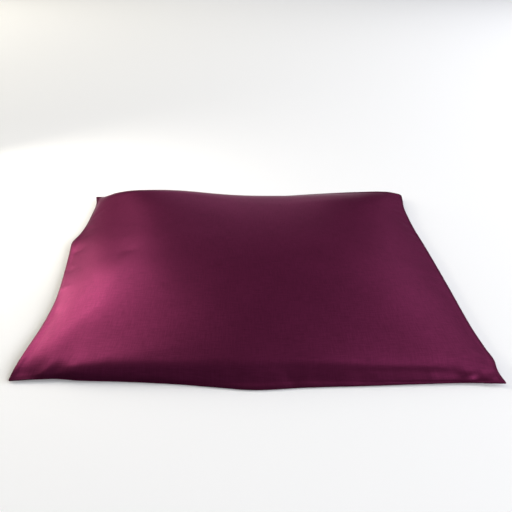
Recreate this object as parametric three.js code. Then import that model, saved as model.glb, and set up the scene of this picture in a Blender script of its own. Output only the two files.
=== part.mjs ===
// A zabuton: the wide flat floor cushion that a meditation seat stands on.
// Two panels of sateen are sewn face to face round all four sides, turned, and stuffed with cotton
// wadding, so the edge is a plain knife edge. The stuffing doesn't reach the seam: an empty lip of
// cloth is left all round, and four flat ears at the corners. It lies on its back on the floor.
// Millimetres, +Z up, front edge towards -Y, floor at Z = 0, origin under the middle of the box.

import * as THREE from "three";

// ---- driving dimensions ------------------------------------------------------------------

const PANEL_WIDTH = 900; // along the long side, tip to tip
const PANEL_DEPTH = 700; // along the short side
const CLOTH = 1.3; // each panel with its turned seam allowance
const CROWN = 25; // how much higher the wadding stands in the middle than along the sides
const LIP_SOFTNESS = 5; // how gently the lip turns up into the stuffed part
const UNDERSIDE_LIFT = 55; // width of the rim that curls up off the floor
const SEAM_BLEND = 3; // how close to a side its own row of the tables takes over
const EDGE_FADE = 8; // folds die out over this width, so that the seam line stays sharp

// Distances of the first grid lines of the top panel from a seam; past them the cells are even.
const LINES_BY_THE_SEAM = [0, 3.5, 8, 13, 19, 26, 35, 47];
const EVEN_CELL = 19;
// Rings of the underside, as the distance in from the seam.
const UNDERSIDE_RINGS = [10, 26, UNDERSIDE_LIFT];

// ---- tables ------------------------------------------------------------------------------

// The four tips: where the lines of the seams cross.
const TIPS = {
  frontLeft: { x: -452, y: -338 },
  frontRight: { x: 453, y: -360 },
  backRight: { x: 448, y: 368 },
  backLeft: { x: -467, y: 371 },
};

// One row for each place along a side where something changes, from the first tip named:
// at, the share of the side; out, how far the seam lies outside the straight line between its
// tips; rise, how high the seam lies; lip, the width of the empty cloth; full, the height of the
// wadding along that side; roll, the width over which it gains that height; box, how upright its
// edge stands, from 0, sloping, to 1, round.
const FRONT = [
  { at: 0, out: 0, rise: 3, lip: 9, full: 22, roll: 90, box: 0.1 },
  { at: 0.045, out: -3, rise: 4, lip: 7, full: 21, roll: 55, box: 0.4 },
  { at: 0.07, out: -4, rise: 4.5, lip: 5, full: 20, roll: 36, box: 0.7 },
  { at: 0.09, out: -5, rise: 4.5, lip: 3, full: 18, roll: 30, box: 0.9 },
  { at: 0.11, out: -4.5, rise: 4, lip: 3, full: 18, roll: 27, box: 0.9 },
  { at: 0.14, out: -2.7, rise: 3, lip: 3, full: 19, roll: 26, box: 0.9 },
  { at: 0.24, out: -1, rise: 2, lip: 4, full: 21, roll: 28, box: 0.9 },
  { at: 0.34, out: 3.3, rise: 1.5, lip: 7, full: 22, roll: 30, box: 0.9 },
  { at: 0.42, out: 10, rise: 1.5, lip: 14, full: 22, roll: 30, box: 0.9 },
  { at: 0.5, out: 15.5, rise: 1.5, lip: 20, full: 21, roll: 30, box: 0.9 },
  { at: 0.6, out: 9, rise: 1.5, lip: 18, full: 20, roll: 30, box: 0.9 },
  { at: 0.72, out: 4.4, rise: 1.5, lip: 13, full: 19, roll: 30, box: 0.9 },
  { at: 0.86, out: -1.3, rise: 2.5, lip: 8, full: 19, roll: 33, box: 0.8 },
  { at: 0.93, out: -3, rise: 3, lip: 6, full: 20, roll: 50, box: 0.6 },
  { at: 1, out: 0, rise: 5, lip: 8, full: 23, roll: 75, box: 0.3 },
];

const RIGHT = [
  { at: 0, out: 0, rise: 5, lip: 10, full: 24, roll: 110, box: 0.1 },
  { at: 0.035, out: -7, rise: 10, lip: 10, full: 25, roll: 130, box: 0.1 },
  { at: 0.07, out: -3.5, rise: 12, lip: 10, full: 26, roll: 150, box: 0 },
  { at: 0.11, out: -6, rise: 10, lip: 10, full: 27, roll: 180, box: 0 },
  { at: 0.2, out: -11, rise: 10, lip: 8, full: 28, roll: 220, box: 0 },
  { at: 0.4, out: -12, rise: 10, lip: 6, full: 29, roll: 240, box: 0 },
  { at: 0.6, out: -15, rise: 11, lip: 6, full: 29, roll: 240, box: 0 },
  { at: 0.72, out: -18, rise: 11, lip: 6, full: 29, roll: 220, box: 0 },
  { at: 0.82, out: -17, rise: 11, lip: 7, full: 29, roll: 200, box: 0 },
  { at: 0.88, out: -15, rise: 12, lip: 8, full: 29, roll: 180, box: 0 },
  { at: 0.95, out: -6, rise: 12, lip: 10, full: 29, roll: 140, box: 0.1 },
  { at: 1, out: 0, rise: 11, lip: 10, full: 29, roll: 120, box: 0.2 },
];

const BACK = [
  { at: 0, out: 0, rise: 9, lip: 13, full: 38, roll: 60, box: 0.9 },
  { at: 0.08, out: -2, rise: 10, lip: 10, full: 47, roll: 50, box: 1 },
  { at: 0.25, out: 0, rise: 10, lip: 10, full: 47, roll: 58, box: 1 },
  { at: 0.45, out: -10, rise: 12, lip: 10, full: 37, roll: 75, box: 0.8 },
  { at: 0.6, out: -9, rise: 13, lip: 10, full: 35, roll: 90, box: 0.6 },
  { at: 0.75, out: 0, rise: 16, lip: 11, full: 34, roll: 100, box: 0.5 },
  { at: 0.85, out: 2, rise: 19, lip: 12, full: 32, roll: 110, box: 0.4 },
  { at: 0.95, out: 3, rise: 19, lip: 10, full: 31, roll: 110, box: 0.4 },
  { at: 1, out: 0, rise: 11, lip: 9, full: 30, roll: 110, box: 0.4 },
];

const LEFT = [
  { at: 0, out: 0, rise: 3, lip: 9, full: 22, roll: 240, box: 0 },
  { at: 0.035, out: -3, rise: 8, lip: 13, full: 24, roll: 240, box: 0.1 },
  { at: 0.08, out: -7.5, rise: 10, lip: 17, full: 29, roll: 243, box: 0.1 },
  { at: 0.2, out: -19, rise: 10, lip: 15, full: 37, roll: 259, box: 0 },
  { at: 0.3, out: -23, rise: 11, lip: 9, full: 41, roll: 277, box: 0 },
  { at: 0.37, out: -20.5, rise: 12, lip: 6, full: 42, roll: 295, box: 0 },
  { at: 0.41, out: -17.5, rise: 12, lip: 6, full: 42, roll: 300, box: 0 },
  { at: 0.5, out: -10, rise: 12, lip: 9, full: 41, roll: 300, box: 0 },
  { at: 0.58, out: -2.5, rise: 12, lip: 14, full: 41, roll: 290, box: 0 },
  { at: 0.64, out: 2.5, rise: 12, lip: 18.5, full: 40, roll: 275, box: 0 },
  { at: 0.69, out: -7, rise: 12, lip: 9.5, full: 40, roll: 260, box: 0 },
  { at: 0.75, out: -12, rise: 11, lip: 6, full: 40, roll: 235, box: 0.1 },
  { at: 0.82, out: -13.5, rise: 11, lip: 5, full: 40, roll: 200, box: 0.2 },
  { at: 0.93, out: -11.5, rise: 10, lip: 7, full: 40, roll: 130, box: 0.6 },
  { at: 1, out: 0, rise: 9, lip: 13, full: 40, roll: 100, box: 0.7 },
];

// Folds that run from the stuffing into the ears. heading is in degrees from +X towards +Y;
// length and width are half sizes; height is above the cloth round it, or below it if negative.
const FOLDS = [
  { x: -390, y: -333, heading: 62, length: 17, width: 7, height: 2.8 },
  { x: -375, y: -332, heading: 60, length: 15, width: 7, height: -3 },
  { x: 395, y: -341, heading: 37, length: 20, width: 8, height: 2.5 },
  { x: 428, y: -340, heading: 46, length: 16, width: 6.5, height: 2.1 },
];

// Broad places where the wadding has gathered or thinned.
const SWELLS = [
  { x: -270, y: 285, across: 200, deep: 150, height: 5 },
  { x: -335, y: -85, across: 115, deep: 155, height: 4 },
];

// ---- reading the tables ------------------------------------------------------------------

// A smooth curve through one column of a side's rows, at the share t of that side.
function along(rows, column, t) {
  const last = rows.length - 1;
  let i = 0;
  while (i < last - 1 && t > rows[i + 1].at) {
    i += 1;
  }
  const slope = (k) => {
    const before = rows[Math.max(k - 1, 0)];
    const after = rows[Math.min(k + 1, last)];
    return (after[column] - before[column]) / (after.at - before.at);
  };
  const step = rows[i + 1].at - rows[i].at;
  const s = (t - rows[i].at) / step;
  const s2 = s * s;
  const s3 = s2 * s;
  return (
    (2 * s3 - 3 * s2 + 1) * rows[i][column] +
    (s3 - 2 * s2 + s) * step * slope(i) +
    (3 * s2 - 2 * s3) * rows[i + 1][column] +
    (s3 - s2) * step * slope(i + 1)
  );
}

// A column of all four tables at the place (u, v) of the panel: each side counts the more, the
// nearer it is.
function fromSides(column, u, v) {
  const sides = [
    { value: along(FRONT, column, u), distance: v * PANEL_DEPTH },
    { value: along(BACK, column, u), distance: (1 - v) * PANEL_DEPTH },
    { value: along(LEFT, column, v), distance: u * PANEL_WIDTH },
    { value: along(RIGHT, column, v), distance: (1 - u) * PANEL_WIDTH },
  ];
  let total = 0;
  let weights = 0;
  for (const { value, distance } of sides) {
    const weight = 1 / (distance + SEAM_BLEND) ** 2;
    total += weight * value;
    weights += weight;
  }
  return total / weights;
}

// ---- the panel's plan --------------------------------------------------------------------

function mix(a, b, t) {
  return a + (b - a) * t;
}

// Where the seam of one side lies in plan. outX and outY point out of the cushion.
function seamPoint(rows, from, to, outX, outY, t) {
  const out = along(rows, "out", t);
  return { x: mix(from.x, to.x, t) + outX * out, y: mix(from.y, to.y, t) + outY * out };
}

// The place (u, v) of a panel in plan: u runs from the left side to the right, v from the front
// to the back. The four seams are blended across the panel, and the corners counted once.
function plan(u, v) {
  const front = seamPoint(FRONT, TIPS.frontLeft, TIPS.frontRight, 0, -1, u);
  const back = seamPoint(BACK, TIPS.backLeft, TIPS.backRight, 0, 1, u);
  const left = seamPoint(LEFT, TIPS.frontLeft, TIPS.backLeft, -1, 0, v);
  const right = seamPoint(RIGHT, TIPS.frontRight, TIPS.backRight, 1, 0, v);
  const place = {};
  for (const axis of ["x", "y"]) {
    const frontTips = mix(TIPS.frontLeft[axis], TIPS.frontRight[axis], u);
    const backTips = mix(TIPS.backLeft[axis], TIPS.backRight[axis], u);
    place[axis] =
      mix(front[axis], back[axis], v) + mix(left[axis], right[axis], u) - mix(frontTips, backTips, v);
  }
  return place;
}

// ---- heights -----------------------------------------------------------------------------

// The distance inside the wadding's edge, brought smoothly to 0 on the lip.
function eased(distance, softness) {
  const x = THREE.MathUtils.clamp((distance + softness) / (2 * softness), 0, 1);
  return 2 * softness * (x ** 3 - x ** 4 / 2) + Math.max(distance - softness, 0);
}

// The share of one side's own height at a distance in from its seam.
function sideFullness(rows, t, distance) {
  const lip = along(rows, "lip", t);
  const inside = eased(distance - lip, Math.min(lip, LIP_SOFTNESS));
  const share = Math.min(inside / along(rows, "roll", t), 1);
  const box = along(rows, "box", t);
  return (1 - (1 - share) ** (3 - 0.8 * box)) ** (1 - 0.5 * box);
}

// The share of the wadding's height: 0 on the lip, 1 on the crown. At a corner the profiles of
// two sides thin the wadding together.
function fullness(u, v) {
  return (
    sideFullness(FRONT, u, v * PANEL_DEPTH) *
    sideFullness(BACK, u, (1 - v) * PANEL_DEPTH) *
    sideFullness(LEFT, v, u * PANEL_WIDTH) *
    sideFullness(RIGHT, v, (1 - u) * PANEL_WIDTH)
  );
}

function foldHeight({ x, y }) {
  let height = 0;
  for (const fold of FOLDS) {
    const heading = THREE.MathUtils.degToRad(fold.heading);
    const lengthways = (x - fold.x) * Math.cos(heading) + (y - fold.y) * Math.sin(heading);
    const sideways = (y - fold.y) * Math.cos(heading) - (x - fold.x) * Math.sin(heading);
    height += fold.height * Math.exp(-((lengthways / fold.length) ** 2) - (sideways / fold.width) ** 2);
  }
  for (const swell of SWELLS) {
    const across = (x - swell.x) / swell.across;
    const deep = (y - swell.y) / swell.deep;
    height += swell.height * Math.exp(-(across ** 2) - deep ** 2);
  }
  return height;
}

// The distance from a place to the nearest seam.
function fromSeam(u, v) {
  return Math.min(Math.min(u, 1 - u) * PANEL_WIDTH, Math.min(v, 1 - v) * PANEL_DEPTH);
}

function topPoint(u, v) {
  const place = plan(u, v);
  const seam = fromSides("rise", u, v);
  const crown = CROWN * (1 - (2 * u - 1) ** 2) * (1 - (2 * v - 1) ** 2);
  const inFromEdge = Math.min(fromSeam(u, v) / EDGE_FADE, 1);
  const stuffed = mix(seam, fromSides("full", u, v), fullness(u, v)) + crown;
  const height = stuffed + (CLOTH + foldHeight(place)) * inFromEdge;
  return new THREE.Vector3(place.x, place.y, height);
}

function undersidePoint(u, v) {
  const place = plan(u, v);
  const flattened = THREE.MathUtils.smoothstep(fromSeam(u, v), 0, UNDERSIDE_LIFT);
  const height = Math.max(fromSides("rise", u, v) - CLOTH, 0) * (1 - flattened);
  return new THREE.Vector3(place.x, place.y, height);
}

// ---- one closed solid --------------------------------------------------------------------

// Shares of a panel's length: crowded by both seams, even between.
function gridLines(length) {
  const edge = LINES_BY_THE_SEAM;
  const first = edge[edge.length - 1];
  const cells = Math.round((length - 2 * first) / EVEN_CELL);
  const middle = Array.from({ length: cells + 1 }, (_, i) => mix(first, length - first, i / cells));
  const near = edge.slice(0, -1);
  const far = near.map((distance) => length - distance).reverse();
  const lines = [...near, ...middle, ...far];
  return lines.map((distance) => distance / length);
}

// The places round the outside of the grid, once round from the front left tip.
function outline(us, vs) {
  const places = [];
  const lastU = us.length - 1;
  const lastV = vs.length - 1;
  for (let i = 0; i < lastU; i += 1) places.push({ i, j: 0 });
  for (let j = 0; j < lastV; j += 1) places.push({ i: lastU, j });
  for (let i = lastU; i > 0; i -= 1) places.push({ i, j: lastV });
  for (let j = lastV; j > 0; j -= 1) places.push({ i: 0, j });
  return places;
}

function cushionGeometry() {
  const us = gridLines(PANEL_WIDTH);
  const vs = gridLines(PANEL_DEPTH);
  const points = [];
  const triangles = [];
  const quad = (a, b, c, d) => triangles.push(a, b, c, a, c, d);

  // Top panel. Each cell is split along the diagonal that points at the nearer tip.
  const topIndex = (i, j) => i * vs.length + j;
  for (const u of us) {
    for (const v of vs) {
      points.push(topPoint(u, v));
    }
  }
  for (let i = 0; i < us.length - 1; i += 1) {
    for (let j = 0; j < vs.length - 1; j += 1) {
      const corners = [topIndex(i, j), topIndex(i + 1, j), topIndex(i + 1, j + 1), topIndex(i, j + 1)];
      const towardsTip = us[i] < 0.5 === vs[j] < 0.5;
      const first = towardsTip ? 0 : 1;
      quad(...[0, 1, 2, 3].map((k) => corners[(first + k) % 4]));
    }
  }

  // Rim of the underside: rings that start on the seam and reach the floor.
  const edge = outline(us, vs);
  let ring = edge.map(({ i, j }) => topIndex(i, j));
  for (const inset of UNDERSIDE_RINGS) {
    const next = edge.map(({ i, j }) => {
      const u = mix(inset / PANEL_WIDTH, 1 - inset / PANEL_WIDTH, us[i]);
      const v = mix(inset / PANEL_DEPTH, 1 - inset / PANEL_DEPTH, vs[j]);
      points.push(undersidePoint(u, v));
      return points.length - 1;
    });
    for (let k = 0; k < ring.length; k += 1) {
      const after = (k + 1) % ring.length;
      quad(ring[k], next[k], next[after], ring[after]);
    }
    ring = next;
  }

  // The flat that lies on the floor.
  for (const index of ring) {
    points[index].z = 0;
  }
  const flat = ring.map((index) => new THREE.Vector2(points[index].x, points[index].y));
  for (const [a, b, c] of THREE.ShapeUtils.triangulateShape(flat, [])) {
    triangles.push(ring[a], ring[c], ring[b]);
  }

  const geometry = new THREE.BufferGeometry().setFromPoints(points);
  geometry.setIndex(triangles);
  geometry.computeBoundingBox();
  const { min, max } = geometry.boundingBox;
  geometry.translate(-(min.x + max.x) / 2, -(min.y + max.y) / 2, -min.z);
  geometry.computeVertexNormals();
  return geometry;
}

// ---- the part ----------------------------------------------------------------------------

const sateen = new THREE.MeshStandardMaterial({
  color: 0x5a1a3c, // wine-coloured cotton sateen
  roughness: 0.55,
  metalness: 0,
});

const cushion = new THREE.Mesh(cushionGeometry(), sateen);
cushion.name = "cushion";

const zabuton = new THREE.Group();
zabuton.add(cushion);

export default zabuton;
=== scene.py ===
import math
from collections import namedtuple

import bpy
import numpy as np
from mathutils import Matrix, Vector


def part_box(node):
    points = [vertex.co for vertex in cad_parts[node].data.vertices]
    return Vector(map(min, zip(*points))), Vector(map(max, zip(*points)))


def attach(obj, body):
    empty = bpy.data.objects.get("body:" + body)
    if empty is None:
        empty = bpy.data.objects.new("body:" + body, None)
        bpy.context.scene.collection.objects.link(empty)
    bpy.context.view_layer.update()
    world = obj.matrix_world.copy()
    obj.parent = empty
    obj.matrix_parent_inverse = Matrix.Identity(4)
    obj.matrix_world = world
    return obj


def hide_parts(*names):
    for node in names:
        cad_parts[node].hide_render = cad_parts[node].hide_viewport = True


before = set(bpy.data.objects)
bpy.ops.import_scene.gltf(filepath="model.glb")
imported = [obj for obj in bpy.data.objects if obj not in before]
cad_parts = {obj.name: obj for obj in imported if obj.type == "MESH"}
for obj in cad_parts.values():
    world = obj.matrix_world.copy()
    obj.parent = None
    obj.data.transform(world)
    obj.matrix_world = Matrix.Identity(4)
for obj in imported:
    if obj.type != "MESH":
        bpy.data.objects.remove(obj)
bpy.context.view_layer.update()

# ---- Camera ------------------------------------------------------------------------------
# A 35 mm lens at sitting height in front of the long side, looking down on the crown and
# turned a very little to the right.
CAMERA_PLACE = (-0.0030, -0.9686, 0.702)
CAMERA_TILT = math.radians(34.3)
CAMERA_TURN = math.radians(-0.9)
LENS_MM = 35.0
SENSOR_MM = 36.0

camera_data = bpy.data.cameras.new("camera")
camera_data.lens = LENS_MM
camera_data.sensor_width = SENSOR_MM
camera = bpy.data.objects.new("camera", camera_data)
bpy.context.scene.collection.objects.link(camera)
camera.location = CAMERA_PLACE
camera.rotation_euler = (math.pi / 2 - CAMERA_TILT, 0.0, CAMERA_TURN)
bpy.context.scene.camera = camera


# ---- Cushion -----------------------------------------------------------------------------
# A zabuton: two panels of wine-coloured cotton sateen sewn face to face round all four sides,
# turned, and stuffed with cotton wadding. The edge is a plain knife edge with an empty lip of
# cloth outside the wadding, the sides are drawn in, and the corners are flat pointed ears.

PANEL_WIDTH = 0.900
PANEL_DEPTH = 0.700
CLOTH = 0.0013  # each panel with its turned seam allowance
CROWN = 0.025  # how much higher the wadding stands in the middle
LIP_SOFTNESS = 0.005  # half the width over which the wadding begins
UNDERSIDE_LIFT = 0.055  # width of the rim that curls up off the floor
SEAM_BLEND = 0.003  # how near a side has to be before its table holds alone
EDGE_FADE = 0.008  # width along the seam over which folds die out

# Where the seam turns at each corner. rise: how high the ear has curled; turn: the radius that
# the corner was left with when the cover was turned right side out.
Tip = namedtuple("Tip", "x y rise turn")
TIPS = {
    "front_left": Tip(-0.452, -0.338, 0.003, 0.003),
    "front_right": Tip(0.453, -0.360, 0.005, 0.003),
    "back_right": Tip(0.448, 0.368, 0.011, 0.009),
    "back_left": Tip(-0.467, 0.371, 0.009, 0.003),
}

# One row where something changes along a side. at: share of the side, from its first tip;
# out: how far the seam lies outside the straight line between the tips; rise: its height;
# lip: width of the empty cloth; full: height of the wadding along that side; roll: width over
# which it gains that height; box: how upright its edge stands, from 0, sloping, to 1, round.
Seam = namedtuple("Seam", "at out rise lip full roll box")

FRONT = [
    Seam(0.000, 0.0000, 0.0030, 0.009, 0.022, 0.090, 0.1),
    Seam(0.045, -0.0030, 0.0040, 0.007, 0.021, 0.055, 0.4),
    Seam(0.070, -0.0040, 0.0045, 0.005, 0.020, 0.036, 0.7),
    Seam(0.090, -0.0050, 0.0045, 0.003, 0.018, 0.030, 0.9),
    Seam(0.110, -0.0045, 0.0040, 0.003, 0.018, 0.027, 0.9),
    Seam(0.140, -0.0027, 0.0030, 0.003, 0.019, 0.026, 0.9),
    Seam(0.240, -0.0010, 0.0020, 0.004, 0.021, 0.028, 0.9),
    Seam(0.340, 0.0033, 0.0015, 0.007, 0.022, 0.030, 0.9),
    Seam(0.420, 0.0100, 0.0015, 0.014, 0.022, 0.030, 0.9),
    Seam(0.500, 0.0155, 0.0015, 0.020, 0.021, 0.030, 0.9),
    Seam(0.600, 0.0090, 0.0015, 0.018, 0.020, 0.030, 0.9),
    Seam(0.720, 0.0044, 0.0015, 0.013, 0.019, 0.030, 0.9),
    Seam(0.860, -0.0013, 0.0025, 0.008, 0.019, 0.033, 0.8),
    Seam(0.930, -0.0030, 0.0030, 0.006, 0.020, 0.050, 0.6),
    Seam(1.000, 0.0000, 0.0050, 0.008, 0.023, 0.075, 0.3),
]
RIGHT = [
    Seam(0.000, 0.0000, 0.005, 0.010, 0.024, 0.11, 0.1),
    Seam(0.035, -0.0070, 0.010, 0.010, 0.025, 0.13, 0.1),
    Seam(0.070, -0.0035, 0.012, 0.010, 0.026, 0.15, 0.0),
    Seam(0.110, -0.0060, 0.010, 0.010, 0.027, 0.18, 0.0),
    Seam(0.200, -0.0110, 0.010, 0.008, 0.028, 0.22, 0.0),
    Seam(0.400, -0.0120, 0.010, 0.006, 0.029, 0.24, 0.0),
    Seam(0.600, -0.0150, 0.011, 0.006, 0.029, 0.24, 0.0),
    Seam(0.720, -0.0180, 0.011, 0.006, 0.029, 0.22, 0.0),
    Seam(0.820, -0.0170, 0.011, 0.007, 0.029, 0.20, 0.0),
    Seam(0.880, -0.0150, 0.012, 0.008, 0.029, 0.18, 0.0),
    Seam(0.950, -0.0060, 0.012, 0.010, 0.029, 0.14, 0.1),
    Seam(1.000, 0.0000, 0.011, 0.010, 0.029, 0.12, 0.2),
]
BACK = [
    Seam(0.00, 0.000, 0.009, 0.013, 0.038, 0.060, 0.9),
    Seam(0.08, -0.002, 0.010, 0.010, 0.047, 0.050, 1.0),
    Seam(0.25, 0.000, 0.010, 0.010, 0.047, 0.058, 1.0),
    Seam(0.45, -0.010, 0.012, 0.010, 0.037, 0.075, 0.8),
    Seam(0.60, -0.009, 0.013, 0.010, 0.035, 0.090, 0.6),
    Seam(0.75, 0.000, 0.016, 0.011, 0.034, 0.100, 0.5),
    Seam(0.85, 0.002, 0.019, 0.012, 0.032, 0.110, 0.4),
    Seam(0.95, 0.003, 0.019, 0.010, 0.031, 0.110, 0.4),
    Seam(1.00, 0.000, 0.011, 0.009, 0.030, 0.110, 0.4),
]
LEFT = [
    Seam(0.000, 0.0000, 0.003, 0.0090, 0.022, 0.240, 0.0),
    Seam(0.035, -0.0030, 0.008, 0.0130, 0.024, 0.240, 0.1),
    Seam(0.080, -0.0075, 0.010, 0.0170, 0.029, 0.243, 0.1),
    Seam(0.200, -0.0190, 0.010, 0.0150, 0.037, 0.259, 0.0),
    Seam(0.300, -0.0230, 0.011, 0.0090, 0.041, 0.277, 0.0),
    Seam(0.370, -0.0205, 0.012, 0.0060, 0.042, 0.295, 0.0),
    Seam(0.410, -0.0175, 0.012, 0.0060, 0.042, 0.300, 0.0),
    Seam(0.500, -0.0100, 0.012, 0.0090, 0.041, 0.300, 0.0),
    Seam(0.580, -0.0025, 0.012, 0.0140, 0.041, 0.290, 0.0),
    Seam(0.640, 0.0025, 0.012, 0.0185, 0.040, 0.275, 0.0),
    Seam(0.690, -0.0070, 0.012, 0.0095, 0.040, 0.260, 0.0),
    Seam(0.750, -0.0120, 0.011, 0.0060, 0.040, 0.235, 0.1),
    Seam(0.820, -0.0135, 0.011, 0.0050, 0.040, 0.200, 0.2),
    Seam(0.930, -0.0115, 0.010, 0.0070, 0.040, 0.130, 0.6),
    Seam(1.000, 0.0000, 0.009, 0.0130, 0.040, 0.100, 0.7),
]

# Folds from the wadding into the ears, by the place of their middle. heading is from +X towards
# +Y; length and width are half sizes; height is above the cloth round the fold.
Fold = namedtuple("Fold", "x y heading length width height")
FOLDS = [
    Fold(-0.390, -0.333, 62, 0.017, 0.007, 0.0028),
    Fold(-0.375, -0.332, 60, 0.015, 0.007, -0.0030),
    Fold(0.395, -0.341, 37, 0.020, 0.008, 0.0025),
    Fold(0.428, -0.340, 46, 0.016, 0.0065, 0.0021),
]

# Broad places where the wadding has gathered or thinned.
Swell = namedtuple("Swell", "x y across deep height")
SWELLS = [
    Swell(-0.270, 0.285, 0.200, 0.150, 0.005),
    Swell(-0.335, -0.085, 0.115, 0.155, 0.004),
]


def along(rows, column, t):
    """A smooth curve through one column of a side's rows, at the shares t of that side."""
    at = np.array([row.at for row in rows])
    value = np.array([getattr(row, column) for row in rows])
    slope = np.gradient(value, at)
    slope[1:-1] = (value[2:] - value[:-2]) / (at[2:] - at[:-2])
    i = np.clip(np.searchsorted(at, t, side="right") - 1, 0, len(rows) - 2)
    step = at[i + 1] - at[i]
    s = (t - at[i]) / step
    return (
        (2 * s**3 - 3 * s**2 + 1) * value[i]
        + (s**3 - 2 * s**2 + s) * step * slope[i]
        + (3 * s**2 - 2 * s**3) * value[i + 1]
        + (s**3 - s**2) * step * slope[i + 1]
    )


def from_sides(column, u, v):
    """A column of all four tables at (u, v): each side counts the more, the nearer it is."""
    sides = [
        (along(FRONT, column, u), v * PANEL_DEPTH),
        (along(BACK, column, u), (1 - v) * PANEL_DEPTH),
        (along(LEFT, column, v), u * PANEL_WIDTH),
        (along(RIGHT, column, v), (1 - u) * PANEL_WIDTH),
    ]
    weights = [1 / (distance + SEAM_BLEND) ** 2 for _, distance in sides]
    return sum(w * value for w, (value, _) in zip(weights, sides)) / sum(weights)


def turned(u, v):
    """Rounds the corners of the panel: squares round the middle of the bend become circles."""
    x = u * PANEL_WIDTH
    y = v * PANEL_DEPTH
    for name, tip in TIPS.items():
        x_way = 1 if "left" in name else -1
        y_way = 1 if "front" in name else -1
        x_bend = (0 if "left" in name else PANEL_WIDTH) + x_way * tip.turn
        y_bend = (0 if "front" in name else PANEL_DEPTH) + y_way * tip.turn
        beyond_x = np.maximum((x_bend - x) * x_way, 0)
        beyond_y = np.maximum((y_bend - y) * y_way, 0)
        corner = (beyond_x > 0) & (beyond_y > 0)
        reach = np.where(corner, np.hypot(beyond_x, beyond_y), 1)
        pull = np.where(corner, 1 - np.maximum(beyond_x, beyond_y) / reach, 0)
        x = x + x_way * beyond_x * pull
        y = y + y_way * beyond_y * pull
    return x / PANEL_WIDTH, y / PANEL_DEPTH


def plan(u, v):
    """Where (u, v) of a panel lies, seen from above: the four seams blended across the panel."""
    u, v = turned(u, v)
    place = []
    for axis, across, deep in ((0, 0, 1), (1, 1, 0)):
        front_left, front_right, back_right, back_left = (tip[axis] for tip in TIPS.values())
        tips_front = front_left + (front_right - front_left) * u
        tips_back = back_left + (back_right - back_left) * u
        tips_left = front_left + (back_left - front_left) * v
        tips_right = front_right + (back_right - front_right) * v
        front = tips_front - across * along(FRONT, "out", u)
        back = tips_back + across * along(BACK, "out", u)
        left = tips_left - deep * along(LEFT, "out", v)
        right = tips_right + deep * along(RIGHT, "out", v)
        place.append(
            front + (back - front) * v + left + (right - left) * u
            - tips_front - (tips_back - tips_front) * v
        )
    return place


# How the wadding's edge gains its height. A sloping edge, box 0, rises as 1 less a power of the
# way that is left. For a round one, box 1, the power is lower, and a root makes it stand up.
SLOPE_POWER = 3.0
ROUND_POWER_LESS = 0.8
ROUND_ROOT_LESS = 0.5


def eased(distance, softness):
    """The distance inside the wadding's edge, brought smoothly to 0 on the lip."""
    x = np.clip((distance + softness) / (2 * softness), 0, 1)
    return 2 * softness * (x**3 - x**4 / 2) + np.maximum(distance - softness, 0)


def fullness(u, v):
    """The share of the wadding's height: 0 on the lip, 1 on the crown. Each side has its own
    profile, and at the corners the profiles of two sides thin the wadding together."""
    full = 1
    for rows, t, distance in (
        (FRONT, u, v * PANEL_DEPTH),
        (BACK, u, (1 - v) * PANEL_DEPTH),
        (LEFT, v, u * PANEL_WIDTH),
        (RIGHT, v, (1 - u) * PANEL_WIDTH),
    ):
        lip = along(rows, "lip", t)
        inside = eased(distance - lip, np.minimum(lip, LIP_SOFTNESS))
        share = np.minimum(inside / along(rows, "roll", t), 1)
        box = along(rows, "box", t)
        gained = 1 - (1 - share) ** (SLOPE_POWER - ROUND_POWER_LESS * box)
        full = full * gained ** (1 - ROUND_ROOT_LESS * box)
    return full


def fold_height(x, y):
    """The folds and the swells, at places seen from above."""
    height = np.zeros_like(x)
    for fold in FOLDS:
        c = math.cos(math.radians(fold.heading))
        s = math.sin(math.radians(fold.heading))
        lengthways = ((x - fold.x) * c + (y - fold.y) * s) / fold.length
        sideways = ((y - fold.y) * c - (x - fold.x) * s) / fold.width
        height += fold.height * np.exp(-(lengthways**2) - sideways**2)
    for swell in SWELLS:
        across = (x - swell.x) / swell.across
        deep = (y - swell.y) / swell.deep
        height += swell.height * np.exp(-(across**2) - deep**2)
    return height


def from_seam(u, v):
    """Distance in metres from the nearest seam, measured on the flat panel."""
    across = np.minimum(u, 1 - u) * PANEL_WIDTH
    deep = np.minimum(v, 1 - v) * PANEL_DEPTH
    return np.minimum(across, deep)


# Inside the edge the turned seam allowance makes a faint ridge in both panels.
ALLOWANCE_IN = 0.0075
ALLOWANCE_HALF = 0.0030
ALLOWANCE_HEIGHT = 0.0004


def allowance_ridge(u, v):
    """The ridge's height, the same all round."""
    offset = (from_seam(u, v) - ALLOWANCE_IN) / ALLOWANCE_HALF
    return ALLOWANCE_HEIGHT * np.exp(-(offset**2))


# The seam's thread is a little tight, so that small puckers run in from it. One row for one
# side: how many, and between which shares of the side they lie.
Puckers = namedtuple("Puckers", "side count start end")
PUCKERS = [
    Puckers("front", 26, 0.05, 0.95),
    Puckers("right", 34, 0.30, 0.98),
    Puckers("back", 26, 0.05, 0.95),
    Puckers("left", 24, 0.10, 0.80),
]
PUCKER_LENGTH = (0.022, 0.060)
PUCKER_HALF = (0.0045, 0.0090)
PUCKER_HEIGHT = (0.0002, 0.0007)
PUCKER_SLANT = 0.6  # how far one leans along the side, for each metre in from the seam
PUCKER_PEAK = 27 / 4  # brings share * (1 - share)**2 to 1 where it is highest
TOP_SEED = 3
UNDER_SEED = 4


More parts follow.
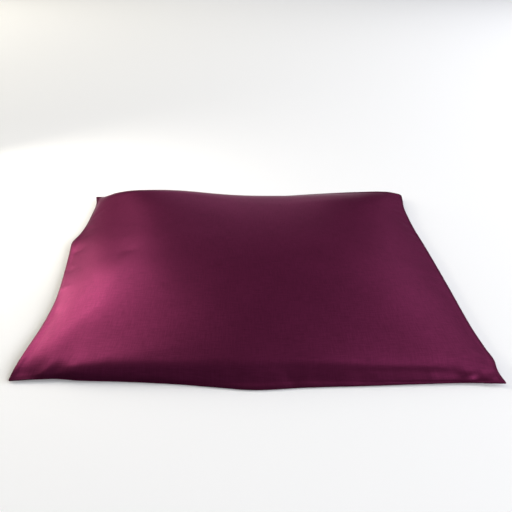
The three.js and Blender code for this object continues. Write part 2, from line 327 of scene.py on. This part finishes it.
def pucker_height(u, v, seed):
    """The puckers of one panel: each starts at nothing on the seam, is highest a third of the
    way along and dies out."""
    chance = np.random.default_rng(seed)
    places = {
        "front": (u * PANEL_WIDTH, v * PANEL_DEPTH, PANEL_WIDTH),
        "right": (v * PANEL_DEPTH, (1 - u) * PANEL_WIDTH, PANEL_DEPTH),
        "back": (u * PANEL_WIDTH, (1 - v) * PANEL_DEPTH, PANEL_WIDTH),
        "left": (v * PANEL_DEPTH, u * PANEL_WIDTH, PANEL_DEPTH),
    }
    height = np.zeros_like(u)
    for row in PUCKERS:
        along_side, inwards, side_length = places[row.side]
        for place in chance.uniform(row.start, row.end, row.count):
            length = chance.uniform(*PUCKER_LENGTH)
            half = chance.uniform(*PUCKER_HALF)
            slant = chance.normal(0, PUCKER_SLANT)
            tall = chance.uniform(*PUCKER_HEIGHT) * chance.choice([-1, 1])
            share = np.clip(inwards / length, 0, 1)
            sideways = (along_side - place * side_length - slant * inwards) / half
            height += tall * PUCKER_PEAK * share * (1 - share) ** 2 * np.exp(-(sideways**2))
    return height


def edge_round(u, v):
    """The cloth's own thickness rounded off at the seam: 0 on it, 1 past it."""
    return np.sqrt(1 - (1 - np.minimum(from_seam(u, v) / CLOTH, 1)) ** 2)


def top_points(u, v):
    """The top panel: its seam, the wadding and the crown under it, and the folds."""
    x, y = plan(u, v)
    seam = from_sides("rise", u, v)
    crown = CROWN * (1 - (2 * u - 1) ** 2) * (1 - (2 * v - 1) ** 2)
    stuffed = seam + (from_sides("full", u, v) - seam) * fullness(u, v) + crown
    folded = np.minimum(from_seam(u, v) / EDGE_FADE, 1)
    height = stuffed + CLOTH * edge_round(u, v) + fold_height(x, y) * folded
    return np.stack([x, y, height], axis=-1)


def underside_points(u, v):
    """The under panel: flat on the floor inside the rim that curls up to the seam."""
    x, y = plan(u, v)
    t = np.clip(from_seam(u, v) / UNDERSIDE_LIFT, 0, 1)
    flattened = t * t * (3 - 2 * t)
    seam = from_sides("rise", u, v)
    height = np.maximum(seam - CLOTH * edge_round(u, v), 0) * (1 - flattened)
    return np.stack([x, y, height], axis=-1)


# Distances of the first grid lines from the seam; past them the cells are even.
LINES_BY_THE_SEAM = [
    0.0, 0.0006, 0.0013, 0.0025, 0.0042, 0.0065, 0.0095, 0.0135, 0.0185, 0.0245, 0.0315
]
EVEN_CELL = 0.0088
PANELS_APART = 1.0  # between the panels in the UV map: the under one is another piece of cloth


def grid_lines(length):
    """Shares of a panel's length: crowded by both seams, even between."""
    edge = np.array(LINES_BY_THE_SEAM)
    cells = round((length - 2 * edge[-1]) / EVEN_CELL)
    middle = np.linspace(edge[-1], length - edge[-1], cells + 1)
    return np.concatenate([edge[:-1], middle, length - edge[-2::-1]]) / length


def vertex_array(mesh):
    """The places of a mesh's vertices, one row each."""
    flat = np.empty(len(mesh.vertices) * 3)
    mesh.vertices.foreach_get("co", flat)
    return flat.reshape(-1, 3)


def seam_places(shape):
    """True on the seam of a panel's grid."""
    seam = np.zeros(shape, bool)
    seam[[0, -1], :] = True
    seam[:, [0, -1]] = True
    return seam


def two_panel_mesh(name, u, v, top, under):
    """Both panels on one grid, sharing the seam's points, with the cloth's own flat places as
    a UV map in metres, and the attribute seam_distance. The top panel's points come first."""
    inner = ~seam_places(u.shape)
    top_index = np.arange(u.size).reshape(u.shape)
    under_index = top_index.copy()
    under_index[inner] = u.size + np.arange(inner.sum())
    points = np.concatenate([top.reshape(-1, 3), under[inner]])
    panel_u = np.concatenate([u.ravel(), u[inner]])
    panel_v = np.concatenate([v.ravel(), v[inner]])

    def quads(index):
        around = [index[:-1, :-1], index[1:, :-1], index[1:, 1:], index[:-1, 1:]]
        return np.stack(around, axis=-1).reshape(-1, 4)

    faces = np.concatenate([quads(top_index), quads(under_index)[:, ::-1]])
    mesh = bpy.data.meshes.new(name)
    mesh.from_pydata(points.tolist(), [], faces.tolist())
    seam_distance = mesh.attributes.new("seam_distance", "FLOAT", "POINT")
    seam_distance.data.foreach_set("value", from_seam(panel_u, panel_v))
    corners = faces.ravel()
    cloth = mesh.uv_layers.new(name="cloth")
    flat = np.stack([panel_u[corners] * PANEL_WIDTH, panel_v[corners] * PANEL_DEPTH], axis=-1)
    flat[len(corners) // 2 :] += PANELS_APART
    cloth.data.foreach_set("uv", flat.ravel())
    mesh.polygons.foreach_set("use_smooth", np.ones(len(faces), bool))
    mesh.update()
    return mesh


# The wadding pushes the two panels apart, and the cloth, cut a little larger than the outline
# that the seam has drawn in, crumples along it. It is settled on a coarser even grid.
SETTLING_CELL = 0.012
SLACK = 0.001  # share by which the cloth is cut larger
PRESSURE = 4.0
SETTLING_FRAMES = 20
MOVE_CAP = 0.0005  # longer moves would add folds that this cushion doesn't have
NOT_ZERO = 1e-9  # added to a length that is divided by


def settled_moves():
    """How far Blender's cloth moves each place of the top and under panels on the even grid."""
    u_lines = np.linspace(0, 1, round(PANEL_WIDTH / SETTLING_CELL) + 1)
    v_lines = np.linspace(0, 1, round(PANEL_DEPTH / SETTLING_CELL) + 1)
    u, v = np.meshgrid(u_lines, v_lines, indexing="ij")
    top = top_points(u, v)
    under = underside_points(u, v)
    mesh = two_panel_mesh("settling", u, v, top, under)
    piece = bpy.data.objects.new("settling", mesh)
    bpy.context.scene.collection.objects.link(piece)
    sewn = np.flatnonzero(seam_places(u.shape))
    piece.vertex_groups.new(name="sewn").add(sewn.tolist(), 1.0, "REPLACE")
    cloth = piece.modifiers.new("cloth", "CLOTH")
    cloth.settings.use_pressure = True
    cloth.settings.uniform_pressure_force = PRESSURE
    cloth.settings.shrink_min = -SLACK
    cloth.settings.vertex_group_mass = "sewn"
    cloth.settings.effector_weights.gravity = 0.0
    cloth.point_cache.frame_end = SETTLING_FRAMES
    for frame_number in range(1, SETTLING_FRAMES + 1):
        bpy.context.scene.frame_set(frame_number)
    evaluated = piece.evaluated_get(bpy.context.evaluated_depsgraph_get())
    moved = vertex_array(evaluated.data)
    bpy.context.scene.frame_set(1)
    bpy.data.objects.remove(piece)
    moves = []
    count = 0
    for rest, places in ((top, np.ones(u.shape, bool)), (under, ~seam_places(u.shape))):
        shift = np.zeros_like(rest)
        size = places.sum()
        shift[places] = moved[count : count + size] - rest[places]
        count += size
        reach = np.linalg.norm(shift, axis=-1, keepdims=True) + NOT_ZERO
        moves.append(shift * np.tanh(reach / MOVE_CAP) * MOVE_CAP / reach)
    return moves


def sampled(field, u, v):
    """A field known on an even grid over the panel, at any (u, v)."""
    x = u * (field.shape[0] - 1)
    y = v * (field.shape[1] - 1)
    i = np.minimum(x.astype(int), field.shape[0] - 2)
    j = np.minimum(y.astype(int), field.shape[1] - 2)
    a = (x - i)[..., None]
    b = (y - j)[..., None]
    near = (1 - a) * field[i, j] + a * field[i + 1, j]
    far = (1 - a) * field[i, j + 1] + a * field[i + 1, j + 1]
    return (1 - b) * near + b * far


def finish_mesh(mesh, name):
    """One subdivision, applied."""
    raw = bpy.data.objects.new(name + "_raw", mesh)
    bpy.context.scene.collection.objects.link(raw)
    smooth = raw.modifiers.new("smooth", "SUBSURF")
    smooth.levels = 1
    smooth.render_levels = 1
    evaluated = raw.evaluated_get(bpy.context.evaluated_depsgraph_get())
    done = bpy.data.meshes.new_from_object(evaluated)
    bpy.data.objects.remove(raw)
    done.name = name
    return done


u, v = np.meshgrid(grid_lines(PANEL_WIDTH), grid_lines(PANEL_DEPTH), indexing="ij")
top_moves, under_moves = settled_moves()
top = top_points(u, v) + sampled(top_moves, u, v)
under = underside_points(u, v) + sampled(under_moves, u, v)
swollen = np.median(top_moves[..., 2])  # taken off again, so that the crown keeps its height
top[..., 2] += allowance_ridge(u, v) + pucker_height(u, v, TOP_SEED) - swollen * fullness(u, v)
under[..., 2] -= allowance_ridge(u, v) + pucker_height(u, v, UNDER_SEED)
under[..., 2] = np.maximum(under[..., 2], 0)
cushion_mesh = finish_mesh(two_panel_mesh("cushion", u, v, top, under), "zabuton")
cushion = bpy.data.objects.new("zabuton", cushion_mesh)
bpy.context.scene.collection.objects.link(cushion)


# The cushion lies over the middle of the space that the solid takes.
low, high = (np.array(corner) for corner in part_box("cushion"))
points = vertex_array(cushion_mesh)
middle = (points.min(axis=0) + points.max(axis=0)) / 2
points[:, :2] += ((low + high) / 2 - middle)[:2]
points[:, 2] += low[2] - points[:, 2].min()
cushion_mesh.vertices.foreach_set("co", points.ravel())
cushion_mesh.update()


def linear(hex_colour):
    """An sRGB hex colour as the linear RGBA that shaders take."""
    channels = [int(hex_colour[i : i + 2], 16) / 255 for i in (1, 3, 5)]
    return tuple(c / 12.92 if c <= 0.04045 else ((c + 0.055) / 1.055) ** 2.4 for c in channels) + (1.0,)


def node(tree, kind, settings, **links):
    """Adds a node with its settings. Each link is a value, or a socket to join to, for the input
    of that name, or of that number after an "n"."""
    made = tree.nodes.new(kind)
    for key, value in settings.items():
        setattr(made, key, value)
    for key, value in links.items():
        numbered = key[0] == "n" and key[1:].isdigit()
        socket = made.inputs[int(key[1:]) if numbered else key.replace("_", " ")]
        if isinstance(value, bpy.types.NodeSocket):
            tree.links.new(value, socket)
        else:
            socket.default_value = value
    return made


# Cotton sateen, woven with long floats of soft-twisted yarn and dyed in the piece: the floats
# mirror light as a low satin gloss in the dye's own colour, so it is given as part metallic,
# with only a trace of white. Thick places in the yarn, slubs, show as short streaks both ways.
DYE = "#652245"
METAL_SHARE = 0.6
WHITE_GLOSS = 0.05
GLANCING_TINT = (0.65, 0.50, 0.56, 1.0)  # the gloss seen edge on, paler than the dye
SLUB_LENGTH = 0.026
SLUB_WIDTH = 0.0019
SLUB_RANGE = (0.7, 1.3)  # what the two noises together come to
SLUB_SHADE = (0.86, 1.14)
SLUB_ROUGHNESS = (0.34, 0.32)  # a thick place is packed closer, and shines a little more
SLUB_RELIEF = 0.00005
CLOUD = 0.09  # patches where the dye has taken a little better
CLOUD_RANGE = (0.3, 0.7)
CLOUD_SHADE = (0.96, 1.04)
YARN = 0.0012  # real yarns lie 0.3 mm apart; drawn coarser, so that they show close to
YARN_WANDER = 1.5
YARN_RELIEF = 0.00001
# Painted shade: the colour is darkened near the seam to stand for the shade that gathers in the fold
# where the two panels meet.
PAINTED_SHADE_WIDTH = 0.011  # over which the base colour is darkened towards the seam where the panels meet, a painted shade
PAINTED_SEAM_SHADE = 0.58

sateen = bpy.data.materials.new("dyed_cotton_sateen")
sateen.use_nodes = True
tree = sateen.node_tree
shader = tree.nodes["Principled BSDF"]
cloth = node(tree, "ShaderNodeUVMap", {"uv_map": "cloth"}).outputs["UV"]


def streaks(long_way, short_way, turn):
    """Noise drawn out along one thread direction."""
    scale = (1 / long_way, 1 / short_way, 1) if turn == 0 else (1 / short_way, 1 / long_way, 1)
    place = node(tree, "ShaderNodeMapping", {}, Vector=cloth, Scale=scale, Location=(turn, turn, 0))
    return node(
        tree, "ShaderNodeTexNoise", {"noise_dimensions": "2D"},
        Vector=place.outputs["Vector"], Scale=1.0, Detail=2.0, Roughness=0.6,
    ).outputs["Fac"]


weft_slubs = streaks(SLUB_LENGTH, SLUB_WIDTH, 0)
warp_slubs = streaks(SLUB_LENGTH, SLUB_WIDTH, 1)
slubs = node(tree, "ShaderNodeMath", {"operation": "ADD"}, n0=weft_slubs, n1=warp_slubs)
clouds = node(
    tree, "ShaderNodeTexNoise", {"noise_dimensions": "2D"},
    Vector=cloth, Scale=1 / CLOUD, Detail=2.0,
)
yarns = node(
    tree, "ShaderNodeTexWave", {"wave_type": "BANDS", "bands_direction": "X"},
    Vector=cloth, Scale=1 / (YARN * math.tau), Distortion=YARN_WANDER, Detail=1.0,
)
painted_shade_distance = node(
    tree, "ShaderNodeAttribute", {"attribute_type": "GEOMETRY", "attribute_name": "seam_distance"}
)
# Painted shade: the base colour darkens towards the seam.
painted_shade_at_seam = node(
    tree, "ShaderNodeMapRange", {"interpolation_type": "SMOOTHSTEP"},
    Value=painted_shade_distance.outputs["Fac"],
    From_Min=0.0, From_Max=PAINTED_SHADE_WIDTH, To_Min=PAINTED_SEAM_SHADE, To_Max=1.0,
)
streak_shade = node(
    tree, "ShaderNodeMapRange", {},
    Value=slubs.outputs["Value"],
    From_Min=SLUB_RANGE[0], From_Max=SLUB_RANGE[1], To_Min=SLUB_SHADE[0], To_Max=SLUB_SHADE[1],
)
cloud_shade = node(
    tree, "ShaderNodeMapRange", {},
    Value=clouds.outputs["Fac"],
    From_Min=CLOUD_RANGE[0], From_Max=CLOUD_RANGE[1], To_Min=CLOUD_SHADE[0], To_Max=CLOUD_SHADE[1],
)
cloth_shade = node(
    tree, "ShaderNodeMath", {"operation": "MULTIPLY"},
    n0=streak_shade.outputs["Result"], n1=cloud_shade.outputs["Result"],
)
shade = node(
    tree, "ShaderNodeMath", {"operation": "MULTIPLY"},
    n0=cloth_shade.outputs["Value"], n1=painted_shade_at_seam.outputs["Result"],
)
# The dye's colour times its random tone and the painted shade at the seam.
dye_and_painted_shade = node(
    tree, "ShaderNodeVectorMath", {"operation": "SCALE"},
    n0=linear(DYE)[:3], Scale=shade.outputs["Value"],
)
gloss = node(
    tree, "ShaderNodeMapRange", {},
    Value=slubs.outputs["Value"],
    From_Min=SLUB_RANGE[0], From_Max=SLUB_RANGE[1], To_Min=SLUB_ROUGHNESS[0], To_Max=SLUB_ROUGHNESS[1],
)
slub_bump = node(
    tree, "ShaderNodeBump", {}, Strength=1.0, Distance=SLUB_RELIEF, Height=slubs.outputs["Value"]
)
yarn_bump = node(
    tree, "ShaderNodeBump", {},
    Strength=1.0, Distance=YARN_RELIEF, Height=yarns.outputs["Fac"], Normal=slub_bump.outputs["Normal"],
)
tree.links.new(dye_and_painted_shade.outputs["Vector"], shader.inputs["Base Color"])
tree.links.new(gloss.outputs["Result"], shader.inputs["Roughness"])
tree.links.new(yarn_bump.outputs["Normal"], shader.inputs["Normal"])
shader.inputs["Metallic"].default_value = METAL_SHARE
shader.inputs["Specular IOR Level"].default_value = WHITE_GLOSS
shader.inputs["Specular Tint"].default_value = GLANCING_TINT
cushion_mesh.materials.clear()
cushion_mesh.materials.append(sateen)

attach(cushion, "root")
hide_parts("cushion")


# ---- Floor -------------------------------------------------------------------------------
# A flat studio floor in matt white paint, which gives the eye nothing but the soft shadow round
# the cushion. It is stage, not part of the cushion.
FLOOR_HALF = 5.8  # past the edge of the view
FLOOR_DROP = 0.0003  # so that the underside doesn't flicker through it
FLOOR_COLOUR = "#f8fafe"
FLOOR_ROUGHNESS = 0.9
CORNERS = ((-1, -1), (1, -1), (1, 1), (-1, 1))

floor_mesh = bpy.data.meshes.new("floor")
floor_corners = [(x * FLOOR_HALF, y * FLOOR_HALF, -FLOOR_DROP) for x, y in CORNERS]
floor_mesh.from_pydata(floor_corners, [], [(0, 1, 2, 3)])
floor = bpy.data.objects.new("floor", floor_mesh)
bpy.context.scene.collection.objects.link(floor)
paint = bpy.data.materials.new("matt_white_floor")
paint.use_nodes = True
paint_shader = paint.node_tree.nodes["Principled BSDF"]
paint_shader.inputs["Base Color"].default_value = linear(FLOOR_COLOUR)
paint_shader.inputs["Roughness"].default_value = FLOOR_ROUGHNESS
floor_mesh.materials.append(paint)


# ---- Light -------------------------------------------------------------------------------
# Square soft boxes behind the cushion, to both sides and in front, which the satin mirrors as soft
# sheens. Two small ones close to the back left corner light the left side.
# azimuth is from +X towards +Y and height above the floor, both in degrees; aim is the place on
# the cushion that the soft box looks at.
AIM_HEIGHT = 0.03
MIDDLE = (0.0, 0.0)
LEFT_SIDE = (-0.41, -0.13)
Softbox = namedtuple("Softbox", "name azimuth height distance size watts colour aim")
SOFTBOXES = [
    Softbox("low_right", 10, 12, 7.0, 3.0, 525, "#f8f8ff", MIDDLE),
    Softbox("high_right", 30, 58, 7.0, 3.0, 51, "#ffffff", MIDDLE),
    Softbox("back_right", 50, 33, 7.0, 3.0, 33, "#ffffff", MIDDLE),
    Softbox("low_back", 90, 12, 7.0, 3.0, 30, "#ffffff", MIDDLE),
    Softbox("back_left", 129, 42, 7.0, 3.0, 102, "#fff9e8", MIDDLE),
    Softbox("low_left", 150, 12, 7.0, 3.0, 287, "#fff7e4", MIDDLE),
    Softbox("front_right", 327, 28, 7.0, 3.0, 355, "#ffffff", MIDDLE),
    Softbox("near_left", 131, 28, 0.9, 0.45, 3.2, "#fff5e2", LEFT_SIDE),
    Softbox("near_back", 114, 45, 0.9, 0.55, 1.2, "#fffaf0", LEFT_SIDE),
]
for box in SOFTBOXES:
    light = bpy.data.lights.new(box.name, "AREA")
    light.energy = box.watts
    light.size = box.size
    light.color = linear(box.colour)[:3]
    lamp = bpy.data.objects.new(box.name, light)
    bpy.context.scene.collection.objects.link(lamp)
    azimuth = math.radians(box.azimuth)
    height = math.radians(box.height)
    level = math.cos(height)
    away = Vector((level * math.cos(azimuth), level * math.sin(azimuth), math.sin(height)))
    lamp.location = Vector((*box.aim, AIM_HEIGHT)) + away * box.distance
    lamp.rotation_euler = away.to_track_quat("Z", "Y").to_euler()

# Behind the floor, a pale wall far off. It is seen, and lights nothing.
WALL_BRIGHTNESS = 0.9
world = bpy.data.worlds.new("studio")
bpy.context.scene.world = world
world.use_nodes = True
wall = world.node_tree.nodes["Background"]
wall.inputs["Color"].default_value = linear("#ffffff")
wall.inputs["Strength"].default_value = WALL_BRIGHTNESS
world.cycles_visibility.diffuse = False
world.cycles_visibility.glossy = False
bpy.context.scene.view_settings.view_transform = "Standard"
